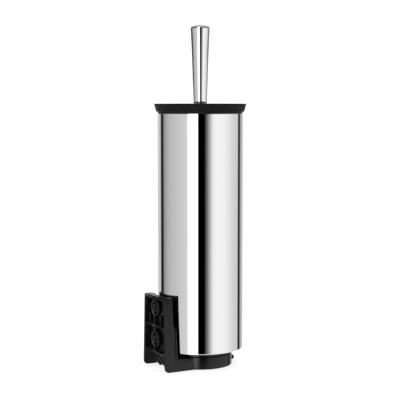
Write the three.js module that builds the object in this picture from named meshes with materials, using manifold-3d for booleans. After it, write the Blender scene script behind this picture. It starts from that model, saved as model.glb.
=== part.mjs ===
// A toilet brush in a tall steel tube, carried by a wall bracket with a round cup.
// Millimetres, +Z up. The origin is on the tube's axis, on the plane that the cup stands on.
// +Y points to the wall, -Y to the room. Each piece of the real object is one named mesh.
import * as THREE from "three";
import { mergeVertices } from "three/addons/utils/BufferGeometryUtils.js";
import Module from "manifold-3d";

// ---- Driving dimensions ----
const GAP = 0.3; // clearance between pieces that rest on or sit in each other

const TUBE_DIAMETER = 90;
const TUBE_LENGTH = 248.4;
const TUBE_WALL = 1;
const TUBE_EDGE = 0.8; // radius of the turned-in bottom edge

const CUP_DIAMETER = 67.2;
const CUP_HEIGHT = 13; // also the height of the two arms
const CUP_WALL = 2.6;
const CUP_FLOOR = 1.7;
const NECK_RISE = 5.2; // from the cup's rim to the tube's bottom edge
const NECK_INSET = 0.4; // how much slimmer than the cup the base's neck is

const WALL_GAP = 9.8; // from the tube to the wall
const BRACKET_HEIGHT = 76.7;
const BRACKET_TOP_WIDTH = 46;
const BRACKET_FOOT_WIDTH = 51.8;
const BRACKET_WALL = 2.8;
const BRACKET_CORNER = 4; // radius of the arms' lower back corners
const SADDLE_GAP = 2.8; // from the tube to the bracket's hollow front
const SADDLE_SETBACK = 0.8; // how much further away the front is above the step
const SADDLE_STEP = 47.2; // height of that step
const SADDLE_PLATE = 2.2;
const EDGE_SETBACK = 1.4; // how much further back the side walls' front edges are above the step
const EDGE_GROOVE = { width: 0.9, depth: 1.2 }; // between the side walls and the plate, below the step
const POCKET_LEDGE = 1.2; // width of the ledge round the inside of the back's rim
const POCKET_LEDGE_DEPTH = 3.6;
const ARM_WALL = 2.8;

const SCREW_HEIGHT = 47.9; // middle of the two screw holes
const SCREW_SPACING = 33;
const SCREW_HOLE = 4.5;
const SCREW_HEAD = 8.6;
const BOSS_DIAMETER = 17.4;
const BOSS_WALL = 2.2;
const SLEEVE_DIAMETER = 8.4;
const BOSS_SETBACK = 1;
const RIB = 2.4;
const SIDE_RIB_OFFSET = 12;
const SIDE_RIB_HEIGHT = 12;
const FRAME_RIB_HEIGHT = 16.7; // underside of the shell's bottom rib
const WEB_RUN = 11.3; // how far the sloping web comes forward
const WEB_THICKNESS = 2.4;
const WEB_SETBACK = 3.9;
const GUSSET = 1.8;

const BOLT_TRAVEL = 3;
const BOLT_TONGUE = { width: 5, bottom: 3.5, top: 5 };
const BOLT_KNOB = { width: 7, bottom: 0.4, top: 5, length: 3.4, round: 1.2 };

const BASE_WALL = 2.2;
const BASE_PLATE = 2.9;
const BASE_SKIRT = 7.5; // how far the base reaches up inside the tube
const BASE_SKIRT_WALL = 1.2;

const BUCKET_WALL = 1.4;
const BUCKET_FLOOR = 1.6;
const BUCKET_DRAFT = 2.2; // how much its radius shrinks from top to bottom
const BUCKET_LIFT = 2.4; // from the base to the bucket's underside
const BUCKET_FLANGE = 1;
const BUCKET_CORNER = 4;
const BUCKET_PLAY = 0.9; // between the bucket's top and the tube
const BUCKET_FLANGE_INSET = 0.2; // how much slimmer than the tube the flange is

const LID_HEIGHT = 8.5;
const LID_OVERHANG = 1.3; // past the tube, at the lid's bottom
const LID_FLARE = 2.4; // how much its radius grows from bottom to top
const LID_EDGE = 0.8;
const LID_PLATE = 2.5;
const LID_COLLAR_DEPTH = 8.3;
const LID_COLLAR_WALL = 1.5;
const LID_COLLAR_PLAY = 0.9; // between the collar and the bucket's mouth
const LID_HUB_DIAMETER = 20;
const LID_HUB_DEPTH = 14.4;

const SHAFT_DIAMETER = 6;
const BUSH_WALL = 3.4;
const CLIP_DIAMETER = 15;
const CLIP_HEIGHT = 3;

const HANDLE_FOOT_DIAMETER = 14.3;
const HANDLE_TOP_DIAMETER = 20.2;
const HANDLE_LENGTH = 78.2;
const HANDLE_WALL = 1.5;
const HANDLE_EDGE = 0.6;
const CAP_DOME = 3.3;
const CAP_SPIGOT = 5.5;
const CORE_LENGTH = 20;
const SHAFT_IN_HANDLE = 15.7;

const HEAD_DIAMETER = 18.6;
const HEAD_LENGTH = 84;
const HEAD_NECK_DIAMETER = 12.4;
const HEAD_NECK_LENGTH = 12;
const HEAD_CLEARANCE = 14.5; // from the bucket's floor to the head
const HEAD_END = 6; // radius of the head's rounded end
const SHAFT_IN_HEAD = 31.5;
const INSERT_DIAMETER = 10.4;
const INSERT_LENGTH = 12;
const INSERT_DEPTH = 12;
const BRISTLE_PLAY = 2; // between the bristles' tips and the bucket
const BRISTLE_LENGTH = 82; // of the brush's bristly part
const BRISTLE_REACH = 11.5; // how far they reach below the head
const BRISTLE_SHOULDER = 11;

const SIDES = 48; // facets round the large pieces
const SMALL_SIDES = 32; // facets round the small ones

// ---- Sizes that follow from them ----
const tubeRadius = TUBE_DIAMETER / 2;
const tubeBottom = CUP_HEIGHT + NECK_RISE;
const tubeTop = tubeBottom + TUBE_LENGTH;
const cupRadius = CUP_DIAMETER / 2;
const wallPlane = tubeRadius + WALL_GAP;
const baseUnderside = tubeBottom + GAP;
const baseTop = baseUnderside + BASE_PLATE;
const bucketBottom = baseTop + BUCKET_LIFT;
const bucketTop = tubeTop + GAP + BUCKET_FLANGE;
const lidBottom = bucketTop + GAP;
const lidTop = lidBottom + LID_HEIGHT;
const handleFoot = lidTop + GAP;
const handleTop = handleFoot + HANDLE_LENGTH;
const shaftRadius = SHAFT_DIAMETER / 2;
const bushRadius = shaftRadius + GAP + BUSH_WALL;
const headBottom = bucketBottom + BUCKET_FLOOR + HEAD_CLEARANCE;
const headTop = headBottom + HEAD_LENGTH;
const shaftTop = handleFoot + SHAFT_IN_HANDLE;
const shaftBottom = headTop - SHAFT_IN_HEAD;

// ---- Shapes ----
const wasm = await Module();
wasm.setup();

/** A geometry as a closed solid that can be joined and cut. */
function solid(geometry) {
  const bare = geometry.clone();
  bare.deleteAttribute("normal");
  bare.deleteAttribute("uv");
  const merged = mergeVertices(bare, 1e-4);
  return new wasm.Manifold(
    new wasm.Mesh({
      numProp: 3,
      vertProperties: merged.attributes.position.array,
      triVerts: new Uint32Array(merged.index.array),
    }),
  );
}

/** A closed solid as a flat-shaded geometry. */
function shell(made) {
  const mesh = made.getMesh();
  const geometry = new THREE.BufferGeometry();
  geometry.setAttribute("position", new THREE.BufferAttribute(mesh.vertProperties, 3));
  geometry.setIndex(new THREE.BufferAttribute(mesh.triVerts, 1));
  const flat = geometry.toNonIndexed();
  flat.computeVertexNormals();
  return flat;
}

/** Several solids joined into one. */
const joined = (solids) => solids.reduce((all, one) => all.add(one));

/** A solid with others cut out of it. */
const cut = (body, tools) => tools.reduce((rest, tool) => rest.subtract(tool), body);

/** An anticlockwise outline of [radius, height] points or curves, turned about Z. */
function turned(path, sides) {
  const points = path.getPoints(2);
  if (points[0].x > 0) points.push(points[0].clone());
  const around = new THREE.LatheGeometry(points, sides);
  around.rotateX(Math.PI / 2);
  return around;
}

/** A path through points, with straight edges. */
const outline = (points) => new THREE.Shape(points.map(([x, y]) => new THREE.Vector2(x, y)));

/** An upright cylinder between two heights. */
function post(radius, low, high, sides = SIDES) {
  return turned(outline([[0, low], [radius, low], [radius, high], [0, high]]), sides);
}

/** An outline in X and Z carried along Y, from one place to another. */
function alongY(shape, from, to) {
  const made = new THREE.ExtrudeGeometry(shape, {
    depth: to - from,
    bevelEnabled: false,
    curveSegments: 8,
  });
  made.rotateX(Math.PI / 2);
  made.translate(0, to, 0);
  return made;
}

/** An outline in Y and Z carried along X, the same distance to both sides of a middle. */
function alongX(shape, width, middle = 0) {
  const made = new THREE.ExtrudeGeometry(shape, {
    depth: width,
    bevelEnabled: false,
    curveSegments: 8,
  });
  const turn = new THREE.Matrix4().makeBasis(
    new THREE.Vector3(0, 1, 0),
    new THREE.Vector3(0, 0, 1),
    new THREE.Vector3(1, 0, 0),
  );
  made.applyMatrix4(turn);
  made.translate(middle - width / 2, 0, 0);
  return made;
}

/** A box between two corners. */
function block(low, high) {
  const size = high.map((value, i) => value - low[i]);
  const made = new THREE.BoxGeometry(...size);
  made.translate(...low.map((value, i) => value + size[i] / 2));
  return made;
}

/** A cylinder along Y at a height, between two places. */
function pinAlongY(diameter, height, from, to, sides) {
  const made = new THREE.CylinderGeometry(diameter / 2, diameter / 2, to - from, sides);
  made.translate(0, (from + to) / 2, height);
  return made;
}

// ---- The wall bracket: ribbed shell, two arms and the cup, moulded in one ----

/** The bracket's tapering front view, drawn in by a wall on each side, between two heights. */
function taper(inset, low, high) {
  const lean = (BRACKET_FOOT_WIDTH - BRACKET_TOP_WIDTH) / 2 / BRACKET_HEIGHT;
  const half = (z) => BRACKET_FOOT_WIDTH / 2 - inset - lean * z;
  return outline([[-half(low), low], [half(low), low], [half(high), high], [-half(high), high]]);
}

/** The bracket's side view: an upright back over two low arms, with rounded back corners. */
function sideView() {
  const saddleFront = tubeRadius - 7;
  const topRound = 1.2;
  const view = new THREE.Shape();
  view.moveTo(0, 0);
  view.lineTo(wallPlane - BRACKET_CORNER, 0);
  view.absarc(wallPlane - BRACKET_CORNER, BRACKET_CORNER, BRACKET_CORNER, -Math.PI / 2, 0);
  view.lineTo(wallPlane, BRACKET_HEIGHT - topRound);
  view.absarc(wallPlane - topRound, BRACKET_HEIGHT - topRound, topRound, 0, Math.PI / 2);
  view.lineTo(saddleFront, BRACKET_HEIGHT);
  view.lineTo(saddleFront, CUP_HEIGHT);
  view.lineTo(0, CUP_HEIGHT);
  return view;
}

/** The space that the tube's saddle takes, grown by an amount. */
function saddle(grow) {
  const near = tubeRadius + SADDLE_GAP + grow;
  const below = post(near, CUP_HEIGHT, SADDLE_STEP - grow + 0.01);
  const above = post(near + SADDLE_SETBACK, SADDLE_STEP - grow, BRACKET_HEIGHT + 1);
  return joined([solid(below), solid(above)]);
}

/** The open pockets in the shell's back, between its walls, ribs and screw bosses. */
function backPockets(screws) {
  const floor = FRAME_RIB_HEIGHT + RIB;
  const roof = BRACKET_HEIGHT - BRACKET_WALL;
  const ledge = POCKET_LEDGE;
  const deep = taper(BRACKET_WALL + ledge, floor + ledge, roof - ledge);
  const room = solid(alongY(deep, tubeRadius - 5, wallPlane + 1))
    .add(solid(alongY(taper(BRACKET_WALL, floor, roof), wallPlane - POCKET_LEDGE_DEPTH, wallPlane + 1)));
  const front = tubeRadius;
  const ribMiddle = SCREW_HEIGHT - 2;
  const ribs = [block([-RIB / 2, front, floor - 1], [RIB / 2, wallPlane, roof + 1])];
  const halfWidth = BRACKET_FOOT_WIDTH / 2;
  ribs.push(block([-halfWidth, front, ribMiddle - RIB / 2], [halfWidth, wallPlane, ribMiddle + RIB / 2]));
  for (const side of [-1, 1]) {
    const x = side * SIDE_RIB_OFFSET;
    const top = ribMiddle + SIDE_RIB_HEIGHT;
    ribs.push(block([x - GUSSET / 2, front, ribMiddle], [x + GUSSET / 2, wallPlane - BOSS_SETBACK, top]));
  }
  const bossTop = wallPlane - BOSS_SETBACK;
  const roundBosses = screws.map((z) => solid(pinAlongY(BOSS_DIAMETER, z, front - 1, wallPlane + 2, 32)));
  const bosses = screws.map((z) => solid(pinAlongY(BOSS_DIAMETER, z, front - 1, bossTop, SMALL_SIDES)));
  const keptRibs = cut(joined(ribs.map(solid)), roundBosses);
  return cut(room, [saddle(SADDLE_PLATE), keptRibs, ...bosses]);
}

/** The side walls' front edges: set back above the saddle's step, parted from its plate below. */
function edgeCuts() {
  const near = tubeRadius + SADDLE_GAP + SADDLE_PLATE;
  const far = near + EDGE_SETBACK;
  const slope = 2.5;
  const [low, top] = [SADDLE_STEP - slope, BRACKET_HEIGHT + 1];
  const above = turned(outline([[0, low], [near, low], [far, low + 2 * slope], [far, top], [0, top]]), SIDES);
  const groove = solid(post(near, CUP_HEIGHT, low + 0.1)).subtract(
    solid(post(near - EDGE_GROOVE.width, CUP_HEIGHT - 1, low + 1)),
  );
  const plate = alongY(taper(BRACKET_WALL, 0, top), 0, wallPlane);
  const grooveFloor = alongY(taper(EDGE_GROOVE.depth, 0, top), 0, wallPlane);
  return solid(above).subtract(solid(plate)).add(groove.subtract(solid(grooveFloor)));
}

/** The space between the arms: open pockets in front of the sloping web and a wedge behind it. */
function underside() {
  const webFoot = wallPlane - WEB_SETBACK - WEB_RUN;
  const slope = FRAME_RIB_HEIGHT / WEB_RUN;
  const lean = WEB_THICKNESS * Math.hypot(1, 1 / slope);
  const front = (z) => webFoot - lean + z / slope;
  const pocketBack = tubeRadius + 1;
  const pocketTurn = (pocketBack - front(0)) * slope;
  const pocket = outline([
    [0, CUP_FLOOR],
    [front(CUP_FLOOR), CUP_FLOOR],
    [pocketBack, pocketTurn],
    [pocketBack, CUP_HEIGHT + 1],
    [0, CUP_HEIGHT + 1],
  ]);
  const behind = outline([
    [webFoot - 1 / slope, -1],
    [wallPlane + 1, -1],
    [wallPlane + 1, FRAME_RIB_HEIGHT],
    [wallPlane - WEB_SETBACK, FRAME_RIB_HEIGHT],
  ]);
  const gusset = outline([
    [webFoot - 2, 0],
    [webFoot + 3, 0],
    [wallPlane, FRAME_RIB_HEIGHT + 1],
    [wallPlane - WEB_SETBACK - 2, FRAME_RIB_HEIGHT + 1],
  ]);
  const between = solid(alongY(taper(ARM_WALL, -2, CUP_HEIGHT + 6), -1, wallPlane + 2));
  const middleRib = block([-RIB / 2, 0, 0], [RIB / 2, wallPlane, CUP_HEIGHT]);
  const pockets = cut(solid(alongX(pocket, BRACKET_FOOT_WIDTH)), [
    solid(post(cupRadius, -1, CUP_HEIGHT + 2)),
    solid(middleRib),
  ]);
  const gussets = [-SIDE_RIB_OFFSET, 0, SIDE_RIB_OFFSET].map((x) => solid(alongX(gusset, GUSSET, x)));
  const wedge = cut(solid(alongX(behind, BRACKET_FOOT_WIDTH)), gussets);
  return [pockets.intersect(between), wedge.intersect(between)];
}

/** The round cup that the tube's base stands in. */
function cup() {
  const edge = 0.8;
  const view = new THREE.Path();
  view.moveTo(0, 0);
  view.lineTo(cupRadius - edge, 0);
  view.absarc(cupRadius - edge, edge, edge, -Math.PI / 2, 0);
  view.lineTo(cupRadius, CUP_HEIGHT - edge / 2);
  view.lineTo(cupRadius - edge / 2, CUP_HEIGHT);
  view.lineTo(0, CUP_HEIGHT);
  return turned(view, 64);
}

function wallBracket() {
  const screws = [SCREW_HEIGHT + SCREW_SPACING / 2, SCREW_HEIGHT - SCREW_SPACING / 2];
  const back = solid(alongY(taper(0, 0, BRACKET_HEIGHT), 0, wallPlane))
    .intersect(solid(alongX(sideView(), BRACKET_FOOT_WIDTH + 2)));
  const hollowed = cut(back, [saddle(0), edgeCuts(), backPockets(screws), ...underside()]);
  const holes = screws.flatMap((z) => {
    const recess = solid(
      pinAlongY(BOSS_DIAMETER - 2 * BOSS_WALL, z, wallPlane - BOSS_SETBACK - 2.6, wallPlane + 1, SMALL_SIDES),
    ).subtract(solid(pinAlongY(SLEEVE_DIAMETER, z, tubeRadius, wallPlane + 2, SMALL_SIDES)));
    const hole = solid(pinAlongY(SCREW_HOLE, z, tubeRadius, wallPlane + 2, 16));
    const headRoom = tubeRadius + SADDLE_GAP + SADDLE_SETBACK + 1;
    return [recess, hole, solid(pinAlongY(SCREW_HEAD, z, tubeRadius - 8, headRoom, 24))];
  });
  const window = block(
    [-BOLT_TONGUE.width / 2 - GAP, -cupRadius - 2, BOLT_TONGUE.bottom - GAP],
    [BOLT_TONGUE.width / 2 + GAP, -cupRadius + CUP_WALL + 2, BOLT_TONGUE.top + GAP],
  );
  const bore = post(cupRadius - CUP_WALL, CUP_FLOOR, CUP_HEIGHT + 1, 64);
  return shell(cut(hollowed.add(solid(cup())), [solid(bore), solid(window), ...holes]));
}

// ---- The slide bolt in the cup's front: drawn out at rest, pushed in to lock the tube ----

function lockBolt() {
  const knobBack = -cupRadius - GAP - BOLT_TRAVEL;
  const { width, bottom, top, length, round } = BOLT_KNOB;
  const face = new THREE.Shape();
  const half = width / 2 - round;
  face.absarc(half, bottom + round, round, -Math.PI / 2, 0);
  face.absarc(half, top - round, round, 0, Math.PI / 2);
  face.absarc(-half, top - round, round, Math.PI / 2, Math.PI);
  face.absarc(-half, bottom + round, round, Math.PI, 1.5 * Math.PI);
  const knob = alongY(face, knobBack - length, knobBack);
  const tip = -cupRadius + CUP_WALL - GAP;
  const tongue = block(
    [-BOLT_TONGUE.width / 2, knobBack - 1, BOLT_TONGUE.bottom],
    [BOLT_TONGUE.width / 2, tip, BOLT_TONGUE.top - 0.02],
  );
  return shell(solid(knob).add(solid(tongue)));
}

// ---- The holder: steel tube and moulded base ----

function outerTube() {
  const inner = tubeRadius - TUBE_WALL;
  const view = new THREE.Path();
  view.moveTo(inner, tubeBottom);
  view.lineTo(tubeRadius - TUBE_EDGE, tubeBottom);
  view.absarc(tubeRadius - TUBE_EDGE, tubeBottom + TUBE_EDGE, TUBE_EDGE, -Math.PI / 2, 0);
  view.lineTo(tubeRadius, tubeTop);
  view.lineTo(inner, tubeTop);
  return turned(view, SIDES);
}

/** The plug in the tube's bottom, whose hollow spigot stands in the cup. */
function tubeBase() {
  const spigot = cupRadius - CUP_WALL - GAP;
  const skirt = tubeRadius - TUBE_WALL - GAP;
  const view = outline([
    [0, baseTop - BASE_WALL],
    [spigot - BASE_WALL, baseTop - BASE_WALL],
    [spigot - BASE_WALL, CUP_FLOOR + GAP],
    [spigot, CUP_FLOOR + GAP],
    [spigot, CUP_HEIGHT + GAP],
    [cupRadius - NECK_INSET, CUP_HEIGHT + GAP],
    [cupRadius - NECK_INSET, baseUnderside],
    [skirt, baseUnderside],
    [skirt, baseUnderside + BASE_SKIRT],
    [skirt - BASE_SKIRT_WALL, baseUnderside + BASE_SKIRT],
    [skirt - BASE_SKIRT_WALL, baseTop],
    [0, baseTop],
  ]);
  const pocket = block(
    [-BOLT_TONGUE.width / 2 - GAP, -spigot - 1, BOLT_TONGUE.bottom - GAP],
    [BOLT_TONGUE.width / 2 + GAP, -spigot + BASE_WALL + 1, BOLT_TONGUE.top + GAP],
  );
  return shell(solid(turned(view, SIDES)).subtract(solid(pocket)));
}

// ---- The bucket that hangs in the tube by its flange ----

const bucketMouth = tubeRadius - TUBE_WALL - BUCKET_PLAY;
const bucketFoot = bucketMouth - BUCKET_DRAFT;

function innerBucket() {
  const floor = bucketBottom + BUCKET_FLOOR;
  const corner = BUCKET_CORNER;
  const inside = corner - BUCKET_WALL;
  const view = new THREE.Path();
  view.moveTo(0, bucketBottom);
  view.lineTo(bucketFoot - corner, bucketBottom);
  view.absarc(bucketFoot - corner, bucketBottom + corner, corner, -Math.PI / 2, 0);
  view.lineTo(bucketMouth, tubeTop + GAP);
  view.lineTo(tubeRadius - BUCKET_FLANGE_INSET, tubeTop + GAP);
  view.lineTo(tubeRadius - BUCKET_FLANGE_INSET, bucketTop);
  view.lineTo(bucketMouth - BUCKET_WALL, bucketTop);
  view.lineTo(bucketFoot - BUCKET_WALL, floor + inside);
  view.absarc(bucketFoot - BUCKET_WALL - inside, floor + inside, inside, 0, -Math.PI / 2, true);
  view.lineTo(0, floor);
  return turned(view, SIDES);
}

// ---- The lid, its bush and the clip that holds it up against the handle ----

function lid() {
  const rim = tubeRadius + LID_OVERHANG;
  const brim = rim + LID_FLARE;
  const collar = bucketMouth - BUCKET_WALL - LID_COLLAR_PLAY;
  const under = lidTop - LID_PLATE;
  const hub = LID_HUB_DIAMETER / 2;
  const view = new THREE.Path();
  view.moveTo(bushRadius + GAP, lidTop - LID_HUB_DEPTH);
  view.lineTo(hub, lidTop - LID_HUB_DEPTH);
  view.lineTo(hub, under);
  view.lineTo(collar - LID_COLLAR_WALL, under);
  view.lineTo(collar - LID_COLLAR_WALL, lidBottom - LID_COLLAR_DEPTH);
  view.lineTo(collar, lidBottom - LID_COLLAR_DEPTH);
  view.lineTo(collar, lidBottom);
  view.lineTo(rim, lidBottom);
  view.lineTo(brim, lidTop - LID_EDGE);
  view.absarc(brim - LID_EDGE, lidTop - LID_EDGE, LID_EDGE, 0, Math.PI / 2);
  view.lineTo(bushRadius + GAP, lidTop);
  return turned(view, SIDES);
}

/** A plain ring about the rod, from its own bore to a radius, between two heights. */
function ringOnShaft(radius, low, high) {
  const bore = shaftRadius + GAP;
  return turned(outline([[bore, low], [radius, low], [radius, high], [bore, high]]), SMALL_SIDES);
}

const hubBottom = lidTop - LID_HUB_DEPTH;
const lidBush = () => ringOnShaft(bushRadius, hubBottom, lidTop - GAP);
const lidClip = () => ringOnShaft(CLIP_DIAMETER / 2, hubBottom - GAP - CLIP_HEIGHT, hubBottom - GAP);

// ---- The brush: handle, rod, head and bristles ----

/** The handle's radius at a share of its length: a straight taper that flares a little at the top. */
function handleRadius(share) {
  const flare = 0.8;
  const foot = HANDLE_FOOT_DIAMETER / 2;
  const grow = (HANDLE_TOP_DIAMETER - HANDLE_FOOT_DIAMETER) / 2;
  return foot + grow * (flare * share + (1 - flare) * share ** 4);
}

function handle() {
  const steps = 6;
  const shares = Array.from({ length: steps + 1 }, (_, i) => i / steps);
  const at = (share, inset) => [handleRadius(share) - inset, handleFoot + share * HANDLE_LENGTH];
  const outside = shares.map((share) => at(share, 0));
  const inside = shares.map((share) => at(share, HANDLE_WALL)).reverse();
  outside[0][1] += HANDLE_EDGE;
  const foot = [[HANDLE_FOOT_DIAMETER / 2 - HANDLE_EDGE, handleFoot]];
  return turned(outline([...foot, ...outside, ...inside]), SMALL_SIDES);
}

/** The cap: a shallow dome on a spigot in the handle's open top. */
function handleCap() {
  const rim = HANDLE_TOP_DIAMETER / 2;
  const seat = handleTop + GAP;
  const spigot = handleRadius(1 - CAP_SPIGOT / HANDLE_LENGTH) - HANDLE_WALL - GAP;
  const ball = (rim ** 2 + CAP_DOME ** 2) / (2 * CAP_DOME);
  const view = new THREE.Path();
  view.moveTo(0, handleTop - CAP_SPIGOT);
  view.lineTo(spigot, handleTop - CAP_SPIGOT);
  view.lineTo(spigot, seat);
  view.lineTo(rim, seat);
  view.absarc(0, seat + CAP_DOME - ball, ball, Math.asin((ball - CAP_DOME) / ball), Math.PI / 2);
  return turned(view, SMALL_SIDES);
}

/** The plastic core in the handle's foot, with a blind hole for the rod. */
function handleCore() {
  const radius = HANDLE_FOOT_DIAMETER / 2 - HANDLE_WALL - GAP;
  const bore = shaftRadius + GAP;
  const low = handleFoot + HANDLE_EDGE;
  return turned(outline([
    [0, shaftTop + GAP],
    [bore, shaftTop + GAP],
    [bore, low],
    [radius, low],
    [radius, low + CORE_LENGTH],
    [0, low + CORE_LENGTH],
  ]), SMALL_SIDES);
}

const shaft = () => post(shaftRadius, shaftBottom, shaftTop, SMALL_SIDES);

const insertTop = headTop - INSERT_DEPTH;
const threadInsert = () => ringOnShaft(INSERT_DIAMETER / 2, insertTop - INSERT_LENGTH, insertTop);

/** The moulded head: a round core with a neck, bored for the rod and moulded round its insert. */
function brushHead() {
  const radius = HEAD_DIAMETER / 2;
  const neck = HEAD_NECK_DIAMETER / 2;
  const bore = shaftRadius + GAP;
  const seat = INSERT_DIAMETER / 2 + GAP;
  const seatBottom = insertTop - INSERT_LENGTH - GAP;
  const view = new THREE.Path();
  view.moveTo(0, headBottom);
  view.lineTo(radius - HEAD_END, headBottom);
  view.absarc(radius - HEAD_END, headBottom + HEAD_END, HEAD_END, -Math.PI / 2, 0);
  view.lineTo(radius, headTop - HEAD_NECK_LENGTH);
  view.lineTo(neck, headTop);
  view.lineTo(bore, headTop);
  view.lineTo(bore, insertTop + GAP);
  view.lineTo(seat, insertTop + GAP);
  view.lineTo(seat, seatBottom);
  view.lineTo(bore, seatBottom);
  view.lineTo(bore, shaftBottom - GAP);
  view.lineTo(0, shaftBottom - GAP);
  return turned(view, SMALL_SIDES);
}

/** The space that the tufts of bristles fill, as one plain body. */
function bristles() {
  const root = HEAD_DIAMETER / 2 + GAP;
  const tip = bucketFoot - BUCKET_WALL - BRISTLE_PLAY;
  const low = headBottom - BRISTLE_REACH;
  const high = low + BRISTLE_LENGTH;
  return turned(outline([
    [0, low],
    [tip - BRISTLE_SHOULDER, low],
    [tip, low + BRISTLE_SHOULDER],
    [tip, high - BRISTLE_SHOULDER],
    [tip - BRISTLE_SHOULDER, high],
    [root, high - 2],
    [root, headBottom - GAP],
    [0, headBottom - GAP],
  ]), SIDES);
}

// ---- The assembly ----

const blackPlastic = { color: 0x141415, roughness: 0.42, metalness: 0 };
const polishedSteel = { color: 0xd9dadc, roughness: 0.06, metalness: 1 };
const chrome = { color: 0xdfe1e4, roughness: 0.04, metalness: 1 };

const pieces = [
  ["wall_bracket", wallBracket(), blackPlastic],
  ["lock_bolt", lockBolt(), { color: 0x0e0e0f, roughness: 0.35, metalness: 0 }],
  ["outer_tube", outerTube(), polishedSteel],
  ["tube_base", tubeBase(), blackPlastic],
  ["inner_bucket", innerBucket(), { color: 0x18181a, roughness: 0.5, metalness: 0 }],
  ["lid", lid(), { color: 0x17181a, roughness: 0.55, metalness: 0 }],
  ["lid_bush", lidBush(), { color: 0x2a2b2d, roughness: 0.6, metalness: 0 }],
  ["lid_clip", lidClip(), { color: 0x1b1b1c, roughness: 0.7, metalness: 0 }],
  ["handle", handle(), chrome],
  ["handle_cap", handleCap(), chrome],
  ["handle_core", handleCore(), blackPlastic],
  ["shaft", shaft(), { color: 0xc9cacc, roughness: 0.22, metalness: 1 }],
  ["brush_head", brushHead(), { color: 0x151516, roughness: 0.5, metalness: 0 }],
  ["thread_insert", threadInsert(), { color: 0xb08d57, roughness: 0.3, metalness: 1 }],
  ["bristles", bristles(), { color: 0x121213, roughness: 0.6, metalness: 0 }],
];

const group = new THREE.Group();
for (const [name, geometry, finish] of pieces) {
  const mesh = new THREE.Mesh(geometry, new THREE.MeshStandardMaterial(finish));
  mesh.name = name;
  group.add(mesh);
}

export default group;
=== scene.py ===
import math

import bmesh
import bpy
import numpy as np
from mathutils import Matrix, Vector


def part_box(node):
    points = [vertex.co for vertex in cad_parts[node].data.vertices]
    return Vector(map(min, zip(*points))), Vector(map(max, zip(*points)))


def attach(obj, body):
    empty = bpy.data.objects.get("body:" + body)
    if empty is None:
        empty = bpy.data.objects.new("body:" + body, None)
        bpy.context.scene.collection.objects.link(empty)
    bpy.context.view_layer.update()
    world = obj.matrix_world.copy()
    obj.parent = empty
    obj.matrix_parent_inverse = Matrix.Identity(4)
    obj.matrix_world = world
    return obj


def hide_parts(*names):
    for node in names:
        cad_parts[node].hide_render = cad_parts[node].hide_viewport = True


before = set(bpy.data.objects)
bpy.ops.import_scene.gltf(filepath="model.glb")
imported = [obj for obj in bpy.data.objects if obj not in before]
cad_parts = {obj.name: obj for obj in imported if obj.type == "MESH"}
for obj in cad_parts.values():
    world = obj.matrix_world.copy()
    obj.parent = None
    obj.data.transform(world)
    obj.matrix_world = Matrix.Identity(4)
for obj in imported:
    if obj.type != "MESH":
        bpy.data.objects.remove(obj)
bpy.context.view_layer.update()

# A toilet brush in its polished tube, standing in a wall bracket. Shapes are worked out in
# millimetres, and become metres where a mesh is made.

# ---- Floor, light and camera ----
# White paper under even white light. The polished pieces mirror upright studio cards that stand
# in a ring: white and grey ones, with a narrow black flag in front and one at each side.

# Each card is a direction round the object in degrees, 0 in front of it, and its brightness.
# One tall white card stands beside the flag in front, so all three rings have it.
BRIGHTEST = 3.4
TALL_CARD = [(-31, BRIGHTEST), (-7, BRIGHTEST), (-6, 0)]
LOW_CARDS = [
    (-180, 0.7), (-137, 0.75), (-129, 0), (-122, 0), (-110, 0.45), (-90, 0.65), (-34, 0.9),
    *TALL_CARD, (12, 0), (20, 0.25), (35, 1.15), (45, 1.25), (70, 1.2), (100, 0.9), (120, 0.8),
    (125, 0), (131, 0), (142, 0.6), (180, 0.7)]
LEVEL_CARDS = [
    (-180, 0.65), (-165, 0.65), (-155, 0.1), (-115, 0.1), (-100, 0.3), (-90, 0.6), (-70, 0.8),
    (-34, 0.85), *TALL_CARD, (18, 0), (25, 0.2), (38, 0.9), (50, 1.05), (80, 0.95), (97, 0.8),
    (113, 0.3), (155, 0.3), (165, 0.65), (180, 0.65)]
HIGH_CARDS = [
    (-180, 0.55), (-165, 0.55), (-155, 0.05), (-50, 0.05), (-34, 0.2), *TALL_CARD, (20, 0.05),
    (60, 0.15), (110, 0.1), (155, 0.05), (165, 0.55), (180, 0.55)]
PAPER_LIGHT = 1.15
VIEW_FROM = 241.0  # degrees round the object, 0 in front of it
CAMERA_DISTANCE = 1.2347
CAMERA_HEIGHT = 0.2822
CAMERA_TILT = 4.96  # degrees down
CAMERA_TURN = 0.01  # degrees left of the axis
LENS = 105.36
SENSOR = 36.0


def linear(code):
    """An sRGB hex colour as linear red, green and blue with alpha 1, by the sRGB curve."""
    c = np.array([int(code[i : i + 2], 16) for i in (1, 3, 5)]) / 255
    c = np.where(c <= 0.04045, c / 12.92, ((c + 0.055) / 1.055) ** 2.4)
    return (*c.tolist(), 1.0)


def add_node(tree, kind, links=(), values=(), **settings):
    """Adds a node, sets its properties and socket values, and links (socket, source, output)."""
    made = tree.nodes.new(kind)
    for name, value in settings.items():
        setattr(made, name, value)
    for socket, value in values:
        made.inputs[socket].default_value = value
    for socket, source, output in links:
        tree.links.new(source.outputs[output], made.inputs[socket])
    return made


world = bpy.data.worlds.new("studio")
bpy.context.scene.world = world
world.use_nodes = True
sky = world.node_tree
sky.nodes.clear()
facing = math.radians(VIEW_FROM - 90)
way = add_node(sky, "ShaderNodeTexCoord")
turned_way = add_node(sky, "ShaderNodeVectorRotate", [("Vector", way, "Generated")],
                      [("Angle", -facing)], rotation_type="Z_AXIS")
parts = add_node(sky, "ShaderNodeSeparateXYZ", [("Vector", turned_way, "Vector")])
bearing = add_node(sky, "ShaderNodeMath", [(0, parts, "Y"), (1, parts, "X")], operation="ARCTAN2")
share = add_node(sky, "ShaderNodeMapRange", [("Value", bearing, "Value")],
                 [("From Min", -math.pi), ("From Max", math.pi)])


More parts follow.
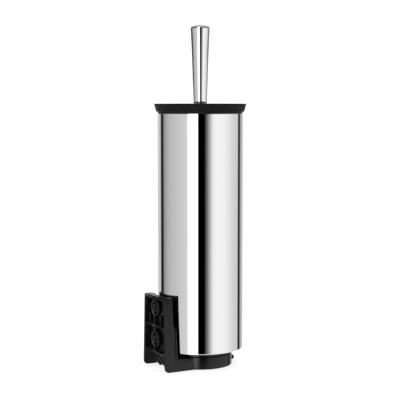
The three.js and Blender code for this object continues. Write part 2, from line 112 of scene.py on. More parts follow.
def card_ring(cards):
    """A background whose brightness follows the cards round the object, by a colour ramp."""
    ramp = add_node(sky, "ShaderNodeValToRGB", [("Fac", share, "Result")])
    stops = ramp.color_ramp.elements
    for i, (degrees, level) in enumerate(cards):
        place = (degrees + 180) / 360
        stop = stops[i] if i < 2 else stops.new(place)
        stop.position = place
        stop.color = (*[level / BRIGHTEST] * 3, 1)
    return add_node(sky, "ShaderNodeBackground", [("Color", ramp, "Color")],
                    [("Strength", BRIGHTEST)])


paper_light = add_node(sky, "ShaderNodeBackground", (),
                       [("Color", (1, 1, 1, 1)), ("Strength", PAPER_LIGHT)])
mirrored = paper_light
# From the floor up: paper, the low, level and high cards, then paper again overhead. A step is the
# sine of the angle above the horizon, from where it starts to where it ends.
steps = [(-0.45, -0.32, card_ring(LOW_CARDS)), (-0.010, -0.007, card_ring(LEVEL_CARDS)),
         (0.18, 0.24, card_ring(HIGH_CARDS)), (0.86, 0.93, paper_light)]
for start, end, band in steps:
    rise = add_node(sky, "ShaderNodeMapRange", [("Value", parts, "Z")],
                    [("From Min", start), ("From Max", end)])
    mirrored = add_node(sky, "ShaderNodeMixShader", [(0, rise, "Result"), (1, mirrored, 0), (2, band, 0)])
ray = add_node(sky, "ShaderNodeLightPath")
seen = add_node(sky, "ShaderNodeMixShader",
                [(0, ray, "Is Glossy Ray"), (1, paper_light, 0), (2, mirrored, 0)])
add_node(sky, "ShaderNodeOutputWorld", [("Surface", seen, 0)])

scene = bpy.context.scene
scene.view_settings.view_transform = "Standard"

camera = bpy.data.objects.new("camera", bpy.data.cameras.new("camera"))
scene.collection.objects.link(camera)
scene.camera = camera
camera.data.lens = LENS
camera.data.sensor_width = SENSOR
camera.data.clip_end = 20
round_angle = math.radians(VIEW_FROM)
camera.location = (math.sin(round_angle) * CAMERA_DISTANCE,
                   -math.cos(round_angle) * CAMERA_DISTANCE, CAMERA_HEIGHT)
camera.rotation_euler = (math.radians(90 - CAMERA_TILT), 0, round_angle + math.radians(CAMERA_TURN))


def paper(name, code, glow):
    """Matt card in a grey, with an even glow of its own like paper lit from behind. A darker grey with a
    weak glow is painted shade.
    """
    made = bpy.data.materials.new(name)
    made.use_nodes = True
    shader = made.node_tree.nodes["Principled BSDF"]
    shader.inputs["Base Color"].default_value = linear(code)
    shader.inputs["Emission Color"].default_value = linear("#FFFFFF")
    shader.inputs["Emission Strength"].default_value = glow
    shader.inputs["Roughness"].default_value = 0.9
    return made


def paper_sheet(name, low, high, height, finish):
    """A rectangle of the paper between two corners, at a height."""
    (x0, y0), (x1, y1) = low, high
    mesh = bpy.data.meshes.new(name)
    mesh.from_pydata([(x0, y0, height), (x1, y0, height), (x1, y1, height), (x0, y1, height)], [],
                     [(0, 1, 2, 3)])
    mesh.materials.append(finish)
    made = bpy.data.objects.new(name, mesh)
    scene.collection.objects.link(made)
    return made


# The pieces mirror the cards and not the wide floor, except for a grey sheet between the arms whose
# darker grey is painted shade, standing in for the floor's shade under the bracket.
FLOOR_HALF = 4.0
floor = paper_sheet("floor", (-FLOOR_HALF, -FLOOR_HALF), (FLOOR_HALF, FLOOR_HALF), 0,
                    paper("white_paper", "#969696", 0.78))
floor.visible_glossy = False
SHADE_LOW, SHADE_HIGH, SHADE_HEIGHT = (-0.024, 0.0), (0.030, 0.058), -0.0002
# Seen only in reflections, just under the floor: a sheet in painted shade, darker grey paper with a weak
# glow, where the floor lies in the bracket's shade.
painted_shade_sheet = paper_sheet("painted_shade_sheet", SHADE_LOW, SHADE_HIGH, SHADE_HEIGHT,
                         paper("painted_shade_paper", "#808080", 0.12))
painted_shade_sheet.visible_camera = painted_shade_sheet.visible_diffuse = painted_shade_sheet.visible_shadow = False

# ---- Wall bracket ----
# One black ABS moulding: a ribbed shell with two screw bosses, two arms and the cup.
# It is the CAD solid with its edges rounded as a mould leaves them.

MM = 0.001


def in_mm(node):
    """The lowest and highest corners of a CAD node, in millimetres."""
    return [np.array(corner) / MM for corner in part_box(node)]


def finish_mesh(made, name, finish, body, nodes, sharp=40):
    """Names a mesh object, merges doubles, points its faces out and shades it smooth to an angle."""
    work = bmesh.new()
    work.from_mesh(made.data)
    bmesh.ops.remove_doubles(work, verts=work.verts, dist=1e-7)
    bmesh.ops.recalc_face_normals(work, faces=work.faces)
    for face in work.faces:
        face.smooth = True
    work.to_mesh(made.data)
    work.free()
    made.data.set_sharp_from_angle(angle=math.radians(sharp))
    made.name = made.data.name = name
    made.data.materials.clear()
    made.data.materials.append(finish)
    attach(made, body)
    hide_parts(*nodes)
    return made


def moulded_abs():
    """Black ABS from a fine spark-eroded mould: a dark satin skin with a faint, even grain."""
    grain = 0.45 * MM
    made = bpy.data.materials.new("moulded_black_abs")
    made.use_nodes = True
    tree = made.node_tree
    skin = tree.nodes["Principled BSDF"]
    skin.inputs["Base Color"].default_value = linear("#0B0B0C")
    skin.inputs["IOR"].default_value = 1.54
    skin.inputs["Specular IOR Level"].default_value = 0.25
    place = add_node(tree, "ShaderNodeTexCoord")
    spark = add_node(tree, "ShaderNodeTexNoise", [("Vector", place, "Object")],
                     [("Scale", 1 / grain), ("Detail", 3.0), ("Roughness", 0.6)])
    patches = add_node(tree, "ShaderNodeTexNoise", [("Vector", place, "Object")],
                       [("Scale", 1 / (9 * MM)), ("Detail", 2.0)])
    gloss = add_node(tree, "ShaderNodeMapRange", [("Value", patches, "Fac")],
                     [("From Min", 0.3), ("From Max", 0.7), ("To Min", 0.16), ("To Max", 0.24)])
    bump = add_node(tree, "ShaderNodeBump", [("Height", spark, "Fac")],
                    [("Strength", 0.5), ("Distance", 0.02 * MM)])
    tree.links.new(gloss.outputs["Result"], skin.inputs["Roughness"])
    tree.links.new(bump.outputs["Normal"], skin.inputs["Normal"])
    return made


black_abs = moulded_abs()
MOULD_ROUND = 0.35 * MM

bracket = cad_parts["wall_bracket"].copy()
bracket.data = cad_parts["wall_bracket"].data.copy()
for tag in [key for key in bracket.keys() if key.startswith("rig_")]:
    del bracket[tag]
bracket.parent = None
scene.collection.objects.link(bracket)
work = bmesh.new()
work.from_mesh(bracket.data)
bmesh.ops.remove_doubles(work, verts=work.verts, dist=1e-6)
bmesh.ops.dissolve_limit(work, angle_limit=math.radians(1), verts=work.verts, edges=work.edges)
work.to_mesh(bracket.data)
work.free()
bevel = bracket.modifiers.new("mould_rounding", "BEVEL")
bevel.width = MOULD_ROUND
bevel.segments = 2
bevel.limit_method = "ANGLE"
bevel.angle_limit = math.radians(32)
depsgraph = bpy.context.evaluated_depsgraph_get()
rounded_mesh = bpy.data.meshes.new_from_object(bracket.evaluated_get(depsgraph))
bracket.modifiers.clear()
bracket.data = rounded_mesh
finish_mesh(bracket, "bracket_moulding", black_abs, "bracket", ["wall_bracket"])

# ---- Slide bolt ----
# A small black nylon bolt through the cup's front wall, with a rounded knob to push with a thumb.


def surface(rows, around=False):
    """A mesh object whose points are a grid of rows, each row joined to the next.

    With around, the last point of each row is joined to its first."""
    count, width = rows.shape[:2]
    i, j = np.meshgrid(np.arange(count - 1), np.arange(width if around else width - 1), indexing="ij")
    k = (j + 1) % width
    faces = np.stack([i * width + j, i * width + k, (i + 1) * width + k, (i + 1) * width + j], -1)
    mesh = bpy.data.meshes.new("surface")
    mesh.from_pydata((rows.reshape(-1, 3) * MM).tolist(), [], faces.reshape(-1, 4).tolist())
    made = bpy.data.objects.new("surface", mesh)
    scene.collection.objects.link(made)
    return made


def superellipse(half_width, half_height, power, count):
    """Points round |x/a|^p + |z/b|^p = 1, as a signed power of the cosine and sine of the angle."""
    t = np.linspace(0, 2 * np.pi, count, endpoint=False)
    x, z = (np.sign(f) * np.abs(f) ** (2 / power) for f in (np.cos(t), np.sin(t)))
    return x * half_width, z * half_height


def nylon():
    """Black moulded nylon: a little waxy, so its gloss is soft and uneven."""
    made = bpy.data.materials.new("moulded_black_nylon")
    made.use_nodes = True
    tree = made.node_tree
    skin = tree.nodes["Principled BSDF"]
    skin.inputs["Base Color"].default_value = linear("#0A0A0B")
    skin.inputs["IOR"].default_value = 1.53
    skin.inputs["Specular IOR Level"].default_value = 0.25
    place = add_node(tree, "ShaderNodeTexCoord")
    wax = add_node(tree, "ShaderNodeTexNoise", [("Vector", place, "Object")],
                   [("Scale", 1 / (1.5 * MM)), ("Detail", 4.0)])
    gloss = add_node(tree, "ShaderNodeMapRange", [("Value", wax, "Fac")],
                     [("To Min", 0.32), ("To Max", 0.5)])
    tree.links.new(gloss.outputs["Result"], skin.inputs["Roughness"])
    return made


black_nylon = nylon()
bolt_low, bolt_high = in_mm("lock_bolt")
KNOB_LENGTH = 3.4
TONGUE = {"half_width": 2.5, "bottom": 3.5, "top": 5.0}
# Each section is (place along Y, half width, bottom, top, squareness), from the knob's face inwards.
knob_back = bolt_low[1] + KNOB_LENGTH
knob = (bolt_high[0], bolt_low[2], bolt_high[2])
tongue = (TONGUE["half_width"], TONGUE["bottom"], TONGUE["top"])
middle = (knob[1] + knob[2]) / 2
sections = [(bolt_low[1], 0.01, middle - 0.01, middle + 0.01, 4)]
for grow in np.linspace(0, 1, 6):
    inset = 1.0 * (1 - math.sin(grow * math.pi / 2))
    along = bolt_low[1] + 1.0 * (1 - math.cos(grow * math.pi / 2))
    sections.append((along, knob[0] - inset, knob[1] + inset, knob[2] - inset, 4))
sections += [
    (knob_back - 0.4, *knob, 4), (knob_back, knob[0] - 0.3, knob[1] + 0.3, knob[2] - 0.3, 4),
    (knob_back, *tongue, 8), (bolt_high[1] - 0.3, *tongue, 8),
    (bolt_high[1], tongue[0] - 0.3, tongue[1] + 0.3, tongue[2] - 0.3, 8),
    (bolt_high[1], 0.01, 4.2, 4.22, 8),
]
rows = []
for along, half, bottom, top, power in sections:
    x, z = superellipse(half, (top - bottom) / 2, power, 64)
    rows.append(np.stack([x, np.full_like(x, along), z + (top + bottom) / 2], -1))
bolt = surface(np.array(rows), around=True)
finish_mesh(bolt, "slide_bolt", black_nylon, "lock", ["lock_bolt"])

# ---- Steel tube ----
# Stainless steel sheet rolled to a tube, welded, and polished to a mirror. Its bottom edge is
# turned in round the base, which leaves a thin bright roll.


def rounded(corners, closed=True):
    """An outline through corners of (x, y, radius), with an arc of that radius at each corner.

    An arc of sweep s is (sin((1 - t) s) start + sin(t s) end) / sin(s), measured from its centre.
    A point is added just past each end, so that the flats stay flat when they are shaded smooth."""
    corner = np.array([c[:2] for c in corners], float)
    radii = [c[2] if len(c) > 2 else 0 for c in corners]
    count = len(corner)
    points = []
    for i in range(count):
        here, radius = corner[i], radii[i]
        if radius == 0 or (not closed and i in (0, count - 1)):
            points.append(here)
            continue
        to_last, to_next = corner[i - 1] - here, corner[(i + 1) % count] - here
        room = min(np.linalg.norm(to_last), np.linalg.norm(to_next))
        u, v = to_last / np.linalg.norm(to_last), to_next / np.linalg.norm(to_next)
        half = math.acos(np.clip(u @ v, -1, 1)) / 2
        reach = radius / math.tan(half)
        bisector = (u + v) / np.linalg.norm(u + v)
        centre = here + bisector * radius / math.sin(half)
        start, end = here + u * reach - centre, here + v * reach - centre
        sweep = math.pi - 2 * half
        turn = np.linspace(0, 1, max(3, round(math.degrees(sweep) / 12) + 1))[:, None]
        arc = (np.sin((1 - turn) * sweep) * start + np.sin(turn * sweep) * end) / math.sin(sweep)
        spare = min(0.4 * radius, 0.2 * max(room - reach, 0))
        points += [centre + start + u * spare, *(centre + arc), centre + end + v * spare]
    return np.array(points)


WIDE_SIDES, BODY_SIDES, SMALL_SIDES = 256, 192, 96  # flats round a turned piece


def turned(profile, sides, closed=True):
    """A profile of (radius, height) carried round Z: x = r cos(a), y = r sin(a), a in even steps."""
    if closed:
        profile = np.vstack([profile, profile[:1]])
    angle = np.linspace(0, 2 * np.pi, sides, endpoint=False)
    radius, height = profile[:, :1], profile[:, 1:]
    x, y = radius * np.cos(angle), radius * np.sin(angle)
    return surface(np.stack([x, y, height + 0 * x], -1), around=True)


def mirror_steel():
    """Stainless steel polished to a mirror: a grey-white metal with faint rings left by the mops."""
    made = bpy.data.materials.new("mirror_polished_steel")
    made.use_nodes = True
    tree = made.node_tree
    skin = tree.nodes["Principled BSDF"]
    skin.inputs["Base Color"].default_value = linear("#DCDCDC")
    skin.inputs["Metallic"].default_value = 1.0
    place = add_node(tree, "ShaderNodeTexCoord")
    rings = add_node(tree, "ShaderNodeMapping", [("Vector", place, "Object")],
                     [("Scale", (8, 8, 1 / (0.6 * MM)))])
    lines = add_node(tree, "ShaderNodeTexNoise", [("Vector", rings, "Vector")],
                     [("Scale", 1.0), ("Detail", 4.0)])
    haze = add_node(tree, "ShaderNodeTexNoise", [("Vector", place, "Object")],
                    [("Scale", 1 / (30 * MM)), ("Detail", 3.0)])
    gloss = add_node(tree, "ShaderNodeMapRange", [("Value", haze, "Fac")],
                     [("From Min", 0.3), ("From Max", 0.7), ("To Min", 0.012), ("To Max", 0.03)])
    bump = add_node(tree, "ShaderNodeBump", [("Height", lines, "Fac")],
                    [("Strength", 0.04), ("Distance", 0.002 * MM)])
    tree.links.new(gloss.outputs["Result"], skin.inputs["Roughness"])
    tree.links.new(bump.outputs["Normal"], skin.inputs["Normal"])
    return made


mirror = mirror_steel()
tube_low, tube_high = in_mm("outer_tube")
tube_radius = tube_high[0]
TUBE_WALL = 1.0
tube = turned(rounded([
    (tube_radius - TUBE_WALL, tube_low[2], 0.15), (tube_radius, tube_low[2], 0.8),
    (tube_radius, tube_high[2], 0.3), (tube_radius - TUBE_WALL, tube_high[2], 0.3)]), WIDE_SIDES)
finish_mesh(tube, "steel_tube", mirror, "holder", ["outer_tube"])

# ---- Tube base ----
# A black ABS plug pressed into the tube's bottom. Its hollow spigot stands in the bracket's cup.

base_low, base_high = in_mm("tube_base")
cup_radius = in_mm("wall_bracket")[1][0]
CUP_RIM, CUP_WALL = 13.0, 2.6
CLEARANCE = 0.3
SPIGOT_WALL, PLATE, SKIRT_WALL, NECK_INSET = 2.2, 2.9, 1.2, 0.4
spigot = cup_radius - CUP_WALL - CLEARANCE
neck = cup_radius - NECK_INSET
under = tube_low[2] + CLEARANCE
plate_top = under + PLATE
base_outline = rounded([
    (0, plate_top - SPIGOT_WALL), (spigot - SPIGOT_WALL, plate_top - SPIGOT_WALL, 1.0),
    (spigot - SPIGOT_WALL, base_low[2], 0.3), (spigot, base_low[2], 0.6),
    (spigot, CUP_RIM + CLEARANCE, 0.2), (neck, CUP_RIM + CLEARANCE, 0.5),
    (neck, under, 0.4), (base_high[0], under, 0.3),
    (base_high[0], base_high[2], 0.3), (base_high[0] - SKIRT_WALL, base_high[2], 0.3),
    (base_high[0] - SKIRT_WALL, plate_top, 0.8), (0, plate_top)], closed=False)
base = turned(base_outline, BODY_SIDES, closed=False)
slot_low, slot_high = TONGUE["bottom"] - CLEARANCE, TONGUE["top"] + CLEARANCE


def cut_box(target, low, high):
    """Cuts a box between two corners out of a mesh object, by an exact boolean."""
    corners = [[(low, high)[bit >> axis & 1][axis] * MM for axis in range(3)] for bit in range(8)]
    quads = [(0, 2, 3, 1), (4, 5, 7, 6), (0, 1, 5, 4), (2, 6, 7, 3), (0, 4, 6, 2), (1, 3, 7, 5)]
    mesh = bpy.data.meshes.new("cutter")
    mesh.from_pydata(corners, [], quads)
    cutter = bpy.data.objects.new("cutter", mesh)
    scene.collection.objects.link(cutter)
    merge = bmesh.new()
    merge.from_mesh(target.data)
    bmesh.ops.remove_doubles(merge, verts=merge.verts, dist=1e-7)
    bmesh.ops.recalc_face_normals(merge, faces=merge.faces)
    merge.to_mesh(target.data)
    merge.free()
    cut = target.modifiers.new("cut", "BOOLEAN")
    cut.object, cut.operation, cut.solver = cutter, "DIFFERENCE", "EXACT"
    graph = bpy.context.evaluated_depsgraph_get()
    result = bpy.data.meshes.new_from_object(target.evaluated_get(graph))
    target.modifiers.clear()
    target.data = result
    bpy.data.objects.remove(cutter)


half_slot = TONGUE["half_width"] + CLEARANCE
cut_box(base, (-half_slot, -spigot - 1, slot_low), (half_slot, -spigot + SPIGOT_WALL + 1, slot_high))
finish_mesh(base, "base_plug", black_abs, "holder", ["tube_base"])

# ---- Inner bucket ----
# A black polypropylene bucket with a little draft, hung in the tube by its flange.


def polypropylene(name, code, grain):
    """Moulded polypropylene: a soft satin skin, slightly mottled, with a coarse or fine grain."""
    made = bpy.data.materials.new(name)
    made.use_nodes = True
    tree = made.node_tree
    skin = tree.nodes["Principled BSDF"]
    skin.inputs["Base Color"].default_value = linear(code)
    skin.inputs["IOR"].default_value = 1.49
    place = add_node(tree, "ShaderNodeTexCoord")
    pits = add_node(tree, "ShaderNodeTexNoise", [("Vector", place, "Object")],
                    [("Scale", 1 / grain), ("Detail", 2.0)])
    gloss = add_node(tree, "ShaderNodeMapRange", [("Value", pits, "Fac")],
                     [("To Min", 0.38), ("To Max", 0.58)])
    bump = add_node(tree, "ShaderNodeBump", [("Height", pits, "Fac")],
                    [("Strength", 0.4), ("Distance", 0.03 * MM)])
    tree.links.new(gloss.outputs["Result"], skin.inputs["Roughness"])
    tree.links.new(bump.outputs["Normal"], skin.inputs["Normal"])
    return made


bucket_low, bucket_high = in_mm("inner_bucket")
BUCKET_WALL, BUCKET_FLOOR, BUCKET_DRAFT, BUCKET_PLAY = 1.4, 1.6, 2.2, 0.9
mouth = tube_radius - TUBE_WALL - BUCKET_PLAY
foot = mouth - BUCKET_DRAFT
bucket_floor = bucket_low[2] + BUCKET_FLOOR
flange_under = tube_high[2] + CLEARANCE
bucket = turned(rounded([
    (0, bucket_low[2]), (foot, bucket_low[2], 4), (mouth, flange_under, 0.3),
    (bucket_high[0], flange_under, 0.3), (bucket_high[0], bucket_high[2], 0.4),
    (mouth - BUCKET_WALL, bucket_high[2], 0.5), (foot - BUCKET_WALL, bucket_floor, 2.6),
    (0, bucket_floor)], closed=False), BODY_SIDES, closed=False)
finish_mesh(bucket, "bucket", polypropylene("moulded_polypropylene", "#1A1A1C", 1.2 * MM),
            "bucket", ["inner_bucket"])

# ---- Lid ----
# A thin ABS lid, wider at the top, with a collar that drops into the bucket and a hub for the rod.


def matt_abs():
    """Matt ABS from an etched mould: a near-black skin whose fine pits scatter the highlights."""
    made = bpy.data.materials.new("etched_black_abs")
    made.use_nodes = True
    tree = made.node_tree
    skin = tree.nodes["Principled BSDF"]
    skin.inputs["Base Color"].default_value = linear("#0D0D0E")
    skin.inputs["IOR"].default_value = 1.5
    skin.inputs["Specular IOR Level"].default_value = 0.1
    place = add_node(tree, "ShaderNodeTexCoord")
    etch = add_node(tree, "ShaderNodeTexNoise", [("Vector", place, "Object")],
                    [("Scale", 1 / (0.6 * MM)), ("Detail", 3.0)])
    gloss = add_node(tree, "ShaderNodeMapRange", [("Value", etch, "Fac")],
                     [("To Min", 0.42), ("To Max", 0.6)])
    bump = add_node(tree, "ShaderNodeBump", [("Height", etch, "Fac")],
                    [("Strength", 0.5), ("Distance", 0.03 * MM)])
    tree.links.new(gloss.outputs["Result"], skin.inputs["Roughness"])
    tree.links.new(bump.outputs["Normal"], skin.inputs["Normal"])
    return made


lid_low, lid_high = in_mm("lid")
bush_low, bush_high = in_mm("lid_bush")
LID_HEIGHT, LID_FLARE, LID_PLATE = 8.5, 2.4, 2.5
COLLAR_WALL, COLLAR_PLAY, HUB = 1.5, 0.9, 10.0
lid_top, brim = lid_high[2], lid_high[0]
lid_bottom, rim = lid_top - LID_HEIGHT, brim - LID_FLARE
collar, collar_bottom = mouth - BUCKET_WALL - COLLAR_PLAY, lid_low[2]
lid_bore, hub_bottom = bush_high[0] + CLEARANCE, bush_low[2]
lid = turned(rounded([
    (lid_bore, hub_bottom, 0.3), (HUB, hub_bottom, 0.5), (HUB, lid_top - LID_PLATE, 1.0),
    (collar - COLLAR_WALL, lid_top - LID_PLATE, 1.0), (collar - COLLAR_WALL, collar_bottom, 0.4),
    (collar, collar_bottom, 0.6), (collar, lid_bottom, 0.2), (rim, lid_bottom, 0.4),
    (brim, lid_top, 0.7), (lid_bore, lid_top, 0.2)]), WIDE_SIDES)
finish_mesh(lid, "lid_moulding", matt_abs(), "lid", ["lid"])

# ---- Lid bush ----
# A moulded acetal bush, pressed into the lid's hub, in which the rod turns.

ROD_RADIUS = 3.0
bush_bore = ROD_RADIUS + CLEARANCE
bush = turned(rounded([
    (bush_bore, bush_low[2], 0.3), (bush_high[0], bush_low[2], 0.4),
    (bush_high[0], bush_high[2], 0.4), (bush_bore, bush_high[2], 0.3)]), SMALL_SIDES)
finish_mesh(bush, "hub_bush", polypropylene("moulded_acetal", "#2C2C2E", 0.8 * MM),
            "lid", ["lid_bush"])

# ---- Lid clip ----
# A firm rubber collar, pushed up the rod, that holds the lid against the handle.


def firm_rubber():
    """Black moulded rubber: dull, with a faint bloom that greys it in patches."""
    made = bpy.data.materials.new("firm_black_rubber")
    made.use_nodes = True
    tree = made.node_tree
    skin = tree.nodes["Principled BSDF"]
    skin.inputs["IOR"].default_value = 1.52
    place = add_node(tree, "ShaderNodeTexCoord")
    bloom = add_node(tree, "ShaderNodeTexNoise", [("Vector", place, "Object")],
                     [("Scale", 1 / (3 * MM)), ("Detail", 5.0)])
    tint = add_node(tree, "ShaderNodeValToRGB", [("Fac", bloom, "Fac")])
    tint.color_ramp.elements[0].color = linear("#121212")
    tint.color_ramp.elements[1].color = linear("#242424")
    gloss = add_node(tree, "ShaderNodeMapRange", [("Value", bloom, "Fac")],
                     [("To Min", 0.65), ("To Max", 0.9)])
    tree.links.new(tint.outputs["Color"], skin.inputs["Base Color"])
    tree.links.new(gloss.outputs["Result"], skin.inputs["Roughness"])
    return made


clip_low, clip_high = in_mm("lid_clip")
clip = turned(rounded([
    (bush_bore, clip_low[2], 0.4), (clip_high[0], clip_low[2], 1.0),
    (clip_high[0], clip_high[2], 1.0), (bush_bore, clip_high[2], 0.4)]), SMALL_SIDES)
finish_mesh(clip, "lid_collar", firm_rubber(), "brush", ["lid_clip"])

# ---- Handle ----
# A tapered brass tube, wider at the top, polished and bright chrome plated.


def chrome_plate():
    """Decorative chrome plate: a bluish-white mirror, a little clouded where it is handled."""
    made = bpy.data.materials.new("bright_chrome_plate")
    made.use_nodes = True
    tree = made.node_tree
    skin = tree.nodes["Principled BSDF"]
    skin.inputs["Base Color"].default_value = linear("#DADADB")
    skin.inputs["Metallic"].default_value = 1.0
    place = add_node(tree, "ShaderNodeTexCoord")
    cloud = add_node(tree, "ShaderNodeTexNoise", [("Vector", place, "Object")],
                     [("Scale", 1 / (14 * MM)), ("Detail", 4.0)])
    gloss = add_node(tree, "ShaderNodeMapRange", [("Value", cloud, "Fac")],
                     [("From Min", 0.35), ("From Max", 0.75), ("To Min", 0.005), ("To Max", 0.02)])
    tree.links.new(gloss.outputs["Result"], skin.inputs["Roughness"])
    return made


chrome = chrome_plate()
handle_low, handle_high = in_mm("handle")
HANDLE_FOOT, HANDLE_TOP, HANDLE_WALL, STRAIGHT_SHARE = 7.15, 10.1, 1.5, 0.8


def handle_radius(part):
    """Radius at a part of the handle's length: a straight taper plus a fourth-power flare."""
    grow = HANDLE_TOP - HANDLE_FOOT
    return HANDLE_FOOT + grow * (STRAIGHT_SHARE * part + (1 - STRAIGHT_SHARE) * part**4)


length = handle_high[2] - handle_low[2]
part = np.linspace(0.012, 0.992, 60)  # clear of the two rounded ends
outside = np.stack([handle_radius(part), handle_low[2] + part * length], -1)
inside = np.stack([handle_radius(part) - HANDLE_WALL, handle_low[2] + part * length], -1)[::-1]
foot_edge = rounded([(HANDLE_FOOT - HANDLE_WALL, handle_low[2]), (HANDLE_FOOT, handle_low[2], 0.6),
                     tuple(outside[0])], closed=False)
top_edge = rounded([tuple(outside[-1]), (HANDLE_TOP, handle_high[2], 0.2),
                    (HANDLE_TOP - HANDLE_WALL, handle_high[2])], closed=False)
handle = turned(np.vstack([foot_edge[:-1], outside, top_edge[1:], inside]), BODY_SIDES)
finish_mesh(handle, "handle_tube", chrome, "brush", ["handle"])

# ---- Handle cap ----
# A shallow domed cap with a short spigot that presses into the handle's top, chrome plated too.

cap_low, cap_high = in_mm("handle_cap")
CAP_SPIGOT, CAP_ROUND = 5.5, 1.2
seat = handle_high[2] + CLEARANCE
dome_height = cap_high[2] - seat
spigot_radius = handle_radius(1 - CAP_SPIGOT / length) - HANDLE_WALL - CLEARANCE
# The dome is a ball's cap whose rim rounds into the upright edge. Its edge angle solves
# round * cos(t) + (radius - round + round * sin(t)) * tan(t / 2) = height.
edge_angle = np.linspace(0.01, 1, 2000)
ring = HANDLE_TOP - CAP_ROUND
rise = CAP_ROUND * np.cos(edge_angle) + (ring + CAP_ROUND * np.sin(edge_angle)) * np.tan(edge_angle / 2)
edge_angle = edge_angle[np.argmin(abs(rise - dome_height))]
ball = (ring + CAP_ROUND * math.sin(edge_angle)) / math.sin(edge_angle)
tilt = np.linspace(math.pi / 2, edge_angle, 14)
shoulder = np.stack([ring + CAP_ROUND * np.sin(tilt), seat + CAP_ROUND * np.cos(tilt)], -1)
tilt = np.linspace(edge_angle, 0, 20)[1:]
dome = np.stack([ball * np.sin(tilt), seat + dome_height - ball + ball * np.cos(tilt)], -1)
cap_rim = rounded([(0, cap_low[2]), (spigot_radius, cap_low[2], 0.4), (spigot_radius, seat, 0.1),
                   (HANDLE_TOP - 0.1, seat), tuple(shoulder[0])], closed=False)
cap = turned(np.vstack([cap_rim[:-1], shoulder, dome]), BODY_SIDES, closed=False)
finish_mesh(cap, "domed_cap", chrome, "brush", ["handle_cap"])

# ---- Handle core ----
# A black ABS plug in the handle's foot, bored for the rod that it grips.

core_low, core_high = in_mm("handle_core")
shaft_low, shaft_high = in_mm("shaft")
core = turned(rounded([
    (0, shaft_high[2] + CLEARANCE), (bush_bore, shaft_high[2] + CLEARANCE, 0.3),
    (bush_bore, core_low[2], 0.3), (core_high[0], core_low[2], 0.3),
    (core_high[0], core_high[2], 0.5), (0, core_high[2])], closed=False), SMALL_SIDES, closed=False)
finish_mesh(core, "foot_core", black_abs, "brush", ["handle_core"])

# ---- Rod ----
# Drawn stainless rod, with a rolled thread at its lower end for the replaceable head.


def drawn_steel():
    """Drawn stainless rod: satin, with fine scratches along its length."""
    made = bpy.data.materials.new("drawn_stainless_rod")
    made.use_nodes = True
    tree = made.node_tree
    skin = tree.nodes["Principled BSDF"]
    skin.inputs["Base Color"].default_value = linear("#C9CACC")
    skin.inputs["Metallic"].default_value = 1.0
    place = add_node(tree, "ShaderNodeTexCoord")
    along = add_node(tree, "ShaderNodeMapping", [("Vector", place, "Object")],
                     [("Scale", (1 / (0.25 * MM), 1 / (0.25 * MM), 20))])
    scratches = add_node(tree, "ShaderNodeTexNoise", [("Vector", along, "Vector")],
                         [("Scale", 1.0), ("Detail", 3.0)])
    gloss = add_node(tree, "ShaderNodeMapRange", [("Value", scratches, "Fac")],
                     [("To Min", 0.16), ("To Max", 0.34)])
    bump = add_node(tree, "ShaderNodeBump", [("Height", scratches, "Fac")],
                    [("Strength", 0.3), ("Distance", 0.01 * MM)])
    tree.links.new(gloss.outputs["Result"], skin.inputs["Roughness"])
    tree.links.new(bump.outputs["Normal"], skin.inputs["Normal"])
    return made


THREAD_PITCH, THREAD_DEPTH, THREAD_LENGTH = 1.0, 0.45, 26.0
ROD_SIDES, ROWS_PER_TURN = 48, 8
angle = np.linspace(0, 2 * np.pi, ROD_SIDES, endpoint=False)
threaded = shaft_low[2] + np.linspace(0.6, THREAD_LENGTH, int(THREAD_LENGTH * ROWS_PER_TURN))
plain = np.linspace(shaft_low[2] + THREAD_LENGTH + 0.4, shaft_high[2] - 0.5, 30)
height = np.concatenate([threaded, plain])[:, None]
# The thread is a rounded ridge: its depth follows the cosine of the height's phase less the angle.
wave = 0.5 - 0.5 * np.cos(2 * np.pi * height / THREAD_PITCH - angle)
fade = np.clip((shaft_low[2] + THREAD_LENGTH - height) / THREAD_PITCH, 0, 1)
fade *= np.clip((height - shaft_low[2]) / THREAD_PITCH, 0, 1)
radius = ROD_RADIUS - THREAD_DEPTH * wave * fade
body = np.stack([radius * np.cos(angle), radius * np.sin(angle), height + 0 * radius], -1)


def end_ring(inset, at):
    """A ring of points on the rod's end chamfer, that much inside its surface."""
    r = max(ROD_RADIUS - inset, 0)
    return np.stack([r * np.cos(angle), r * np.sin(angle), np.full(ROD_SIDES, at)], -1)[None]


rod = surface(np.vstack([
    end_ring(ROD_RADIUS, shaft_low[2]), end_ring(0.6, shaft_low[2]), body,
    end_ring(0.5, shaft_high[2]), end_ring(ROD_RADIUS, shaft_high[2])]), around=True)
finish_mesh(rod, "brush_rod", drawn_steel(), "brush", ["shaft"])

# ---- Thread insert ----
# A turned brass bush, threaded for the rod and knurled outside so that the plastic grips it.


def turned_brass():
    """Turned brass: warm, satin, with fine rings from the lathe tool."""
    made = bpy.data.materials.new("turned_brass")
    made.use_nodes = True
    tree = made.node_tree
    skin = tree.nodes["Principled BSDF"]
    skin.inputs["Base Color"].default_value = linear("#C7A25A")
    skin.inputs["Metallic"].default_value = 1.0
    place = add_node(tree, "ShaderNodeTexCoord")
    rings = add_node(tree, "ShaderNodeMapping", [("Vector", place, "Object")],
                     [("Scale", (20, 20, 1 / (0.2 * MM)))])
    feed = add_node(tree, "ShaderNodeTexNoise", [("Vector", rings, "Vector")], [("Scale", 1.0)])
    gloss = add_node(tree, "ShaderNodeMapRange", [("Value", feed, "Fac")],
                     [("To Min", 0.2), ("To Max", 0.4)])
    tree.links.new(gloss.outputs["Result"], skin.inputs["Roughness"])
    return made


